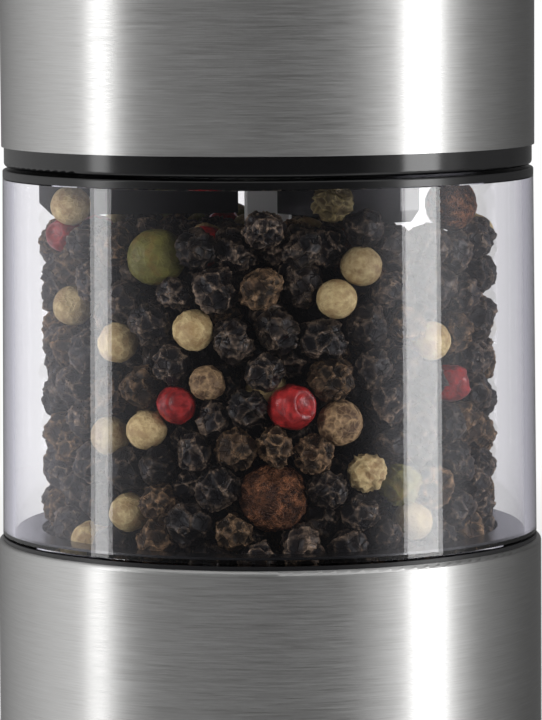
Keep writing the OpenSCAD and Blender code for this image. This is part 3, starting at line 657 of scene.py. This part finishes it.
def cell_pattern(name, size):
    """Flat cells parted by narrow walls: 0 along the walls, rising steeply to the cells."""
    texture = pattern(name, "VORONOI", size, weight_1=-1.0, weight_2=1.0, noise_intensity=2.0)
    texture.use_color_ramp = True
    stops = texture.color_ramp.elements
    for stop, (where, value) in zip([stops[0], stops[1], stops.new(0.3)],
                                    [(0.0, 0.0), (0.6, 1.0), (0.25, 0.8)]):
        stop.position = where
        stop.color = (value, value, value, 1)
    return texture


LUMPS = pattern("berry lumps", "CLOUDS", 0.9, noise_depth=1)
CRUMPLES = pattern("berry crumples", "CLOUDS", 0.28, noise_depth=2)
CELLS = cell_pattern("berry cells", 0.72)
FINE_CELLS = cell_pattern("fine berry cells", 0.56)
GRAINS = pattern("berry grains", "CLOUDS", 0.11, noise_depth=2)


def displaced(piece, texture, strength, middle=0.5):
    """Pushes the faces in and out by a pattern."""
    only_selected(piece)
    bpy.ops.object.modifier_add(type="DISPLACE")
    push = piece.modifiers[-1]
    push.texture = texture
    push.strength = strength
    push.mid_level = middle
    push.texture_coords = "LOCAL"
    bpy.ops.object.modifier_apply(modifier=push.name)


def edit_all(piece):
    """Starts editing with the whole piece selected."""
    only_selected(piece)
    bpy.ops.object.mode_set(mode="EDIT")
    bpy.ops.mesh.select_all(action="SELECT")


def points_of(piece):
    """The places of the mesh's points, a row each."""
    found = np.empty(len(piece.data.vertices) * 3, dtype=np.float32)
    piece.data.vertices.foreach_get("co", found)
    return found.reshape(-1, 3)


def mark(piece, name, values):
    """Keeps one number for each point of the mesh."""
    held = piece.data.attributes.new(name, "FLOAT", "POINT")
    held.data.foreach_set("value", np.asarray(values, dtype=np.float32))


def press_dimple(piece, deep, wide):
    """Presses in the skin at the top of a berry."""
    only_selected(piece)
    top = int(np.argmax(points_of(piece)[:, 2]))
    for index, vertex in enumerate(piece.data.vertices):
        vertex.select = index == top
    for part in [*piece.data.edges, *piece.data.polygons]:
        part.select = False
    bpy.ops.object.mode_set(mode="EDIT")
    bpy.ops.mesh.select_mode(type="VERT")
    bpy.ops.transform.translate(
        value=(0, 0, -deep), use_proportional_edit=True,
        proportional_edit_falloff="SPHERE", proportional_size=wide)
    bpy.ops.object.mode_set(mode="OBJECT")


def berry(kind, number, lumps, fineness=4, crumples=0.0, cells=None, depth=0.0, grains=0.0,
          dimple=None, stretch=1.0):
    """A berry of radius 1, taken at its own place in the patterns, so that no two are alike.
    The mark "ridge" is 1 on the crests of its skin and 0 in the hollows."""
    nothing_selected()
    bpy.ops.mesh.primitive_ico_sphere_add(subdivisions=fineness, radius=1)
    piece = named(f"{kind}_berry_{number}")
    if dimple:
        press_dimple(piece, *dimple)
    away = (3.7 * number, 1.9 * number, 5.3 * number)
    edit_all(piece)
    bpy.ops.transform.resize(value=(1, 1, stretch))
    bpy.ops.transform.translate(value=away)
    bpy.ops.object.mode_set(mode="OBJECT")
    displaced(piece, LUMPS, lumps)
    before = np.linalg.norm(points_of(piece) - away, axis=1)
    if cells:
        displaced(piece, cells, -depth, 0.0)
    if crumples:
        displaced(piece, CRUMPLES, crumples)
    if grains:
        displaced(piece, GRAINS, grains)
    change = np.linalg.norm(points_of(piece) - away, axis=1) - before
    low, high = np.percentile(change, (4, 96))
    mark(piece, "ridge", np.clip((change - low) / max(high - low, 0.001), 0, 1))
    edit_all(piece)
    bpy.ops.transform.translate(value=tuple(-part for part in away))
    size = float(np.percentile(np.linalg.norm(points_of(piece) - away, axis=1), 80))
    bpy.ops.transform.resize(value=(1 / size,) * 3, center_override=(0, 0, 0))
    bpy.ops.object.mode_set(mode="OBJECT")
    bpy.ops.object.shade_smooth()
    return piece


def berry_forms():
    """The forms that the pepper is copied from, a few of each sort. The inner ones have few
    faces and are for the berries that lie deep inside."""
    return {
        "wrinkled": [
            berry("wrinkled", n, 0.42, cells=FINE_CELLS if n % 3 == 1 else CELLS,
                  depth=0.20 + 0.05 * (n % 3), crumples=0.10, stretch=0.90 + 0.05 * (n % 4),
                  dimple=(0.25, 0.5) if n % 4 == 0 else None)
            for n in range(1, 10)
        ],
        "veined": [
            berry("veined", n, 0.12, cells=CELLS, depth=0.06, crumples=0.03,
                  stretch=0.95 + 0.05 * (n % 3))
            for n in (11, 12, 13)
        ],
        "plain": [
            berry("plain", n, 0.08, crumples=0.02, dimple=(0.12, 0.35),
                  stretch=0.96 + 0.04 * (n % 3))
            for n in (14, 15, 16)
        ],
        "dimpled": [
            berry("dimpled", n, 0.24, crumples=0.05, dimple=(0.34, 0.56), stretch=1.12)
            for n in (17, 18)
        ],
        "grained": [
            berry("grained", n, 0.12, grains=0.16, dimple=(0.2, 0.3))
            for n in (19, 20)
        ],
        "inner": [
            berry("inner", n, 0.2, fineness=2, crumples=0.12)
            for n in (21, 22, 23)
        ],
    }


def any_turn():
    """A random turn in space."""
    parts = RNG.normal(size=4)
    return Quaternion(parts / np.linalg.norm(parts)).to_matrix().to_4x4()


def keep_front_dark(kinds, forms, outermost, places):
    """Changes the pale berries that came to lie in front with black ones from the back, as
    the pale ones in front are listed."""
    loose = range(len(PLACED), len(kinds))
    front = [n for n in loose if outermost[n] and places[n, 1] < 0]
    pale = [n for n in front if kinds[n] not in ("black", "brown")]
    dark = [n for n in loose if places[n, 1] > 0 and kinds[n] == "black"]
    for light, other in zip(pale, dark):
        kinds[light], kinds[other] = kinds[other], kinds[light]
        forms[light], forms[other] = forms[other], forms[light]


def end_outward(place):
    """A turn that brings a berry's dimpled end to face out of the tube, a little to the right."""
    angle = math.atan2(place[0], -place[1]) + math.radians(35)
    way = Vector((math.sin(angle), -math.cos(angle), 0.2))
    return way.to_track_quat("Z", "Y").to_matrix().to_4x4()


SEEN_DEPTH = 3.8 * MM   # how far inside the tube a berry can still be seen
SEEN_Z = 74.5 * MM      # above this, berries are seen from the top
MOST_FACES = 180000     # in one heap


def berry_copy(source, place, radius, turn):
    """One berry of the heap, copied from its form, with a tone of its own."""
    copy = source.copy()
    copy.data = source.data.copy()
    bpy.context.scene.collection.objects.link(copy)
    copy.data.transform(Matrix.Translation(place) @ turn @ Matrix.Scale(radius, 4))
    mark(copy, "tone", np.full(len(copy.data.vertices), RNG.random()))
    return copy


def join_heaps(kind, berries):
    """Joins the berries of one kind into as few pieces as their faces allow."""
    parts = max(1, math.ceil(sum(len(each.data.polygons) for each in berries) / MOST_FACES))
    for part in range(parts):
        nothing_selected()
        for each in berries[part::parts]:
            each.select_set(True)
        bpy.context.view_layer.objects.active = berries[part]
        bpy.ops.object.join()
        heap = named(f"{kind}_berries_{part + 1}")
        dress(heap, BERRY_SKINS[kind])
        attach(heap, "base")


def pour_pepper():
    """Copies the forms to the places where the berries settle, and joins them by kind."""
    kinds, forms, radii, placed = berry_list()
    places = settle(radii, placed)
    shapes = berry_forms()
    outermost = np.hypot(places[:, 0], places[:, 1]) + radii > BORE_R - SEEN_DEPTH
    shown = outermost | (places[:, 2] > SEEN_Z)
    keep_front_dark(kinds, forms, outermost, places)
    heaps, used = {}, dict.fromkeys(shapes, 0)
    for index, kind in enumerate(kinds):
        form = forms[index] if shown[index] else "inner"
        source = shapes[form][used[form] % len(shapes[form])]
        used[form] += 1
        turn = any_turn()
        if form == "dimpled" and index < len(PLACED):
            turn = end_outward(places[index])
        made = berry_copy(source, places[index], radii[index], turn)
        heaps.setdefault(kind, []).append(made)
    for source in sum(shapes.values(), []):
        bpy.data.objects.remove(source)
    for kind, berries in heaps.items():
        join_heaps(kind, berries)


pour_pepper()

# ---------------------------------------------------------------- studio


# each table is for the bearings from the front, to the right: (degrees, brightness)
# the room that the steel mirrors
ROOM = [
    (-180, 0.16), (-165, 0.20), (-150, 0.30), (-135, 0.46), (-120, 0.62), (-105, 0.80),
    (-88, 0.88), (-66, 0.36), (-50, 0.28), (-30, 0.20), (-12, 0.155), (0, 0.12),
    (12, 0.15), (30, 0.20), (38, 0.32), (45, 0.60), (52, 0.90), (86, 0.95), (95, 0.36),
    (110, 0.24), (130, 0.13), (150, 0.10), (180, 0.16),
]
# the backdrop that the clear wall mirrors inside itself
BEHIND = [
    (-180, 0.42), (-166, 0.46), (-150, 0.56), (-144, 0.84), (-130, 0.88), (-118, 0.60),
    (-88, 0.90), (-66, 0.30), (-30, 0.09), (0, 0.05), (30, 0.08), (44, 0.25),
    (56, 0.70), (84, 0.70), (110, 0.30), (130, 0.50), (145, 0.52), (166, 0.42), (180, 0.42),
]
BEHIND_TINT = (0.96, 0.95, 1.07)
# the backdrop straight through the clear wall: white, with painted shade on the right behind at
# bearings 150 to 178 degrees, where no card stands
STRAIGHT = [(-180, 1.0), (150, 1.0), (162, 0.70), (175.5, 0.70), (178, 1.0), (180, 1.0)]


def bearing_at(tree):
    """The bearing round the mill of the place that a ray meets, in radians and as a share
    of the circle: 0 and 1 at the back."""
    parts = object_parts(tree)
    bearing = maths(tree, "ARCTAN2", parts[0], maths(tree, "MULTIPLY", parts[1], -1.0))
    return bearing, between(tree, bearing, -math.pi, math.pi)


def by_bearing(tree, share, table, tint=(1, 1, 1)):
    """A colour that changes with the bearing as a table says."""
    ramp = add(tree, "ValToRGB", {0: share})
    stops = ramp.color_ramp.elements
    for degrees, _ in table[1:-1]:
        stops.new((degrees + 180) / 360)
    for stop, (_, bright) in zip(stops, table):
        stop.color = colour(*(bright * part for part in tint))
    return ramp.outputs[0]


def looked_at(tree):
    """1 for rays that look at the background, straight, in a mirror or through the glass,
    and 0 for those that carry light to a matt surface or mirror it inside the glass."""
    path = add(tree, "LightPath").outputs
    either = maths(tree, "MAXIMUM", path["Is Camera Ray"], path["Is Glossy Ray"])
    either = maths(tree, "MAXIMUM", either, path["Is Transmission Ray"])
    either = maths(tree, "SUBTRACT", either, mirrored_in_glass(tree))
    return maths(tree, "MULTIPLY", either, maths(tree, "LESS_THAN", path["Diffuse Depth"], 0.5))


def mirrored_in_glass(tree):
    """1 for rays that leave the glass after they were mirrored in it or behind it."""
    path = add(tree, "LightPath").outputs
    mirrored = maths(tree, "GREATER_THAN", path["Glossy Depth"], 0.5)
    return maths(tree, "MULTIPLY", path["Is Transmission Ray"], mirrored)


def pale_floor():
    """A pale floor that keeps the mill's shadow and fades to the white backdrop."""
    nothing_selected()
    bpy.ops.mesh.primitive_plane_add(size=12.0, location=(0, 0, -0.2 * MM))
    floor = named("floor")
    material, tree, shader = new_material("pale floor")
    shader.inputs["Base Color"].default_value = colour(0.86, 0.86, 0.86)
    shader.inputs["Roughness"].default_value = 0.7
    place = add(tree, "TexCoord").outputs["Object"]
    away = add(tree, "VectorMath", {0: place}, operation="LENGTH").outputs["Value"]
    far = between(tree, away, 0.15, 0.45)
    in_glass = add(tree, "LightPath").outputs["Is Transmission Ray"]
    # through the clear wall the far floor takes STRAIGHT, with its painted shade on the right behind
    backdrop = mixed(tree, in_glass, WHITE, by_bearing(tree, bearing_at(tree)[1], STRAIGHT))
    white = add(tree, "Emission", {"Color": backdrop, "Strength": 1.0})
    share = maths(tree, "MULTIPLY", far, looked_at(tree))
    both = add(tree, "MixShader", {0: share, 1: shader.outputs[0], 2: white.outputs[0]})
    unseen = add(tree, "BsdfTransparent").outputs[0]
    kept = add(tree, "MixShader", {0: mirrored_in_glass(tree), 1: both.outputs[0], 2: unseen})
    tree.links.new(kept.outputs[0], tree.nodes["Material Output"].inputs["Surface"])
    dress(floor, material)
    floor.visible_glossy = False


LENS_Z = -0.04  # metres


def room_ring():
    """The grey room that the steel mirrors: a ring of card, brighter on the left, with the
    dark of the lens low in front."""
    nothing_selected()
    bpy.ops.mesh.primitive_cylinder_add(
        vertices=96, radius=1.2, depth=3.0, end_fill_type="NOTHING", location=(0, 0, 0.1))
    ring = named("room_ring")
    bpy.ops.object.transform_apply(location=True)
    bpy.ops.object.shade_smooth()
    material, tree, shader = new_material("grey room")
    bearing, share = bearing_at(tree)
    room = by_bearing(tree, share, ROOM)
    # the lens dims the room near the level of LENS_Z, and its effect ends to the sides
    to_side = maths(tree, "ABSOLUTE", bearing)
    aside = between(tree, to_side, math.radians(40), math.radians(62))
    height = object_parts(tree)[2]
    off_level = maths(tree, "ABSOLUTE", maths(tree, "SUBTRACT", height, LENS_Z))
    lens = between(tree, off_level, 0.16, 0.42, 0.30, 1.15)
    back = maths(tree, "MULTIPLY", aside, maths(tree, "SUBTRACT", 1.0, lens))
    room = mixed(tree, 1.0, room, grey(tree, maths(tree, "ADD", lens, back)), blend="MULTIPLY")
    path = add(tree, "LightPath").outputs
    matt = maths(tree, "GREATER_THAN", path["Diffuse Depth"], 0.5)
    in_glass = maths(tree, "MULTIPLY", path["Is Transmission Ray"], maths(tree, "SUBTRACT", 1.0, matt))
    shade = mixed(tree, in_glass, room, by_bearing(tree, share, BEHIND, BEHIND_TINT))
    straight = maths(tree, "MULTIPLY", in_glass, maths(tree, "LESS_THAN", path["Glossy Depth"], 0.5))
    # rays straight through the clear wall see STRAIGHT: white, with painted shade on the right behind
    shade = mixed(tree, straight, shade, by_bearing(tree, share, STRAIGHT))
    light = add(tree, "Emission", {"Color": shade, "Strength": 1.0})
    tree.links.new(light.outputs[0], tree.nodes["Material Output"].inputs["Surface"])
    dress(ring, material)
    ring.visible_camera = False
    ring.visible_diffuse = False
    ring.visible_shadow = False


def soft_lamp(name, bearing, width, height, distance, strength, lift):
    """An upright soft lamp that faces the mill, at a bearing in degrees from the front to the
    right. Lift is the height of its middle."""
    data = bpy.data.lights.new(name, "AREA")
    data.shape = "RECTANGLE"
    data.size = width
    data.size_y = height
    data.energy = strength * math.pi * width * height
    lamp = bpy.data.objects.new(name, data)
    bpy.context.scene.collection.objects.link(lamp)
    angle = math.radians(bearing)
    lamp.location = (distance * math.sin(angle), -distance * math.cos(angle), lift)
    lamp.rotation_euler = (math.radians(90), 0, angle)
    lamp.visible_camera = False
    return lamp


def fill_lamp(name, bearing, width, height, distance, strength, lift):
    """A lamp that lights matt surfaces, and that metal and glass don't mirror."""
    lamp = soft_lamp(name, bearing, width, height, distance, strength, lift)
    lamp.visible_glossy = False
    lamp.visible_transmission = False
    return lamp


def overhead_lamp(name, size, height, strength):
    """A square lamp over the mill that lights the floor, and that nothing mirrors."""
    lamp = fill_lamp(name, 0, size, size, 0, strength, height)
    lamp.rotation_euler = (0, 0, 0)


SKY_LIGHT = 0.12  # strength of the light from all round, where 1 is white


def light_world():
    """Even soft light, and white where the background is seen."""
    world = bpy.data.worlds.new("studio")
    bpy.context.scene.world = world
    world.use_nodes = True
    tree = world.node_tree
    strength = between(tree, looked_at(tree), 0.0, 1.0, SKY_LIGHT, 1.0)
    background = tree.nodes["Background"]
    background.inputs["Color"].default_value = WHITE
    tree.links.new(strength, background.inputs["Strength"])


pale_floor()
room_ring()
light_world()
soft_lamp("left lamp", -76.0, 0.115, 0.38, 0.7, 4.1, 0.1)
soft_lamp("left upper lamp", -70.0, 0.075, 0.34, 0.7, 3.4, 0.28)
soft_lamp("right lamp", 68.5, 0.22, 0.38, 0.7, 5.3, 0.1)
fill_lamp("left fill", -52, 0.22, 0.5, 0.8, 8.0, 0.2)
fill_lamp("right fill", 46, 0.22, 0.5, 0.8, 5.0, 0.2)
overhead_lamp("overhead lamp", 1.2, 1.5, 2.8)
bpy.context.scene.view_settings.view_transform = "Standard"
